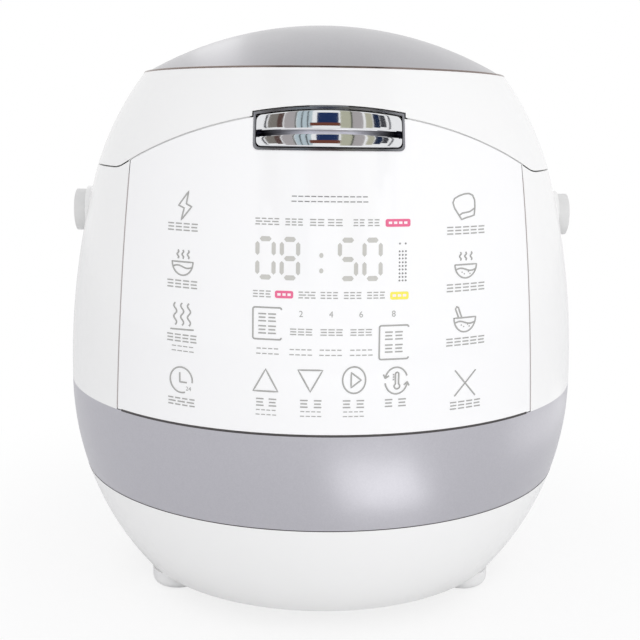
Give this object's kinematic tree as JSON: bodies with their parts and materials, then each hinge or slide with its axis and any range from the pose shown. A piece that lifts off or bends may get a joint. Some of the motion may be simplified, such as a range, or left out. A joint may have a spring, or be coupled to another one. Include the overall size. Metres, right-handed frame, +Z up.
{
  "type": "rice cooker",
  "caption": "Round-bellied induction rice cooker with a hinged domed lid, push latch, wrap-round touch panel, lift-out steam valve and folding carry handle",
  "frame": {"origin": "centre of the footprint's bounding box, at the height of the surface that the cooker stands on", "axes": "+Z up; -Y towards the user, the side with the control panel and the latch; +X to the right as seen from the front; the lid hinge runs along X at the back"},
  "size_m": [0.256, 0.2889, 0.2765],
  "materials": {
    "white_shell": "moulded white polypropylene, semi-gloss",
    "white_lens": "clear-coated white acrylic lens, high gloss",
    "silver_paint": "fine silver lacquer, satin",
    "chrome": "bright chrome plating",
    "steel": "zinc-plated steel",
    "stainless": "spun stainless steel, fine turned lines",
    "aluminium": "plain drawn aluminium",
    "pale_grey": "pale grey moulded plastic, fine grain",
    "grey_plastic": "light grey moulded plastic",
    "dark_plastic": "black heat-proof moulding",
    "rubber": "soft rubber",
    "silicone": "translucent white silicone",
    "circuit_board": "green glass-fibre circuit board",
    "copper": "enamelled copper wire and foil",
    "ferrite": "sintered ferrite"
  },
  "bodies": {
    "base": {"base_shell": "white_shell", "vent_grille": "white_shell", "feet": "white_shell", "foot_pads": "rubber", "base_screws": "steel", "silver_band": "silver_paint", "side_casing": "white_shell", "panel_frame": "white_shell", "control_panel": "white_lens", "display_board": "circuit_board", "display_module": "grey_plastic", "touch_springs": "steel", "top_collar": "white_shell", "latch_bezel": "chrome", "latch_springs": "steel", "inner_liner": "aluminium", "side_heater": "copper", "coil_support": "dark_plastic", "induction_coil": "copper", "ferrite_bars": "ferrite", "sensor_guide": "dark_plastic", "sensor_spring": "steel", "power_board": "circuit_board", "heat_sink": "aluminium", "board_parts": "dark_plastic", "fan_frame": "dark_plastic", "power_inlet": "dark_plastic", "inlet_pins": "steel", "hinge_housing": "white_shell", "hinge_pin": "steel", "hinge_springs": "steel", "handle_pins": "chrome", "inner_pot": "stainless"},
    "lid": {"lid_shell": "white_shell", "lid_dome": "silver_paint", "dome_trim": "chrome", "lid_liner": "white_shell", "inner_lid": "aluminium", "inner_lid_seal": "silicone", "lid_heater": "copper", "steam_duct": "white_shell", "lid_striker": "steel", "lid_hinge": "white_shell", "lid_screws": "steel"},
    "steam_valve": {"valve_cap": "silver_paint", "valve_cup": "white_shell", "valve_seal": "silicone"},
    "latch": {"latch_button": "chrome", "latch_slider": "steel"},
    "handle": {"carry_handle": "pale_grey", "handle_grip": "pale_grey"},
    "sensor": {"pot_sensor": "aluminium"},
    "fan": {"fan_rotor": "dark_plastic"}
  },
  "joints": [
    {"name": "lid_turn", "type": "hinge", "parent": "base", "child": "lid", "pos_m": [0, 0.10554, 0.215], "axis": [-1, 0, 0], "range_deg": [0, 85], "deforming": ["hinge_springs"]},
    {"name": "latch_push", "type": "slide", "parent": "base", "child": "latch", "axis": [0, 1, 0], "range_m": [0, 0.0028], "stiffness_N_per_m": 900, "springref_m": -0.001, "deforming": ["latch_springs"]},
    {"name": "handle_turn", "type": "hinge", "parent": "base", "child": "handle", "pos_m": [0, -0.01646, 0.183], "axis": [1, 0, 0], "range_deg": [0, 90]},
    {"name": "valve_lift", "type": "slide", "parent": "lid", "child": "steam_valve", "axis": [0, 0, 1], "range_m": [0, 0.06]},
    {"name": "sensor_press", "type": "slide", "parent": "base", "child": "sensor", "axis": [0, 0, 1], "range_m": [-0.003, 0], "stiffness_N_per_m": 600, "springref_m": 0.002, "deforming": ["sensor_spring"]},
    {"name": "fan_turn", "type": "hinge", "parent": "base", "child": "fan", "pos_m": [0, 0.04354, 0.018], "axis": [0, 0, 1], "continuous": true}
  ]
}
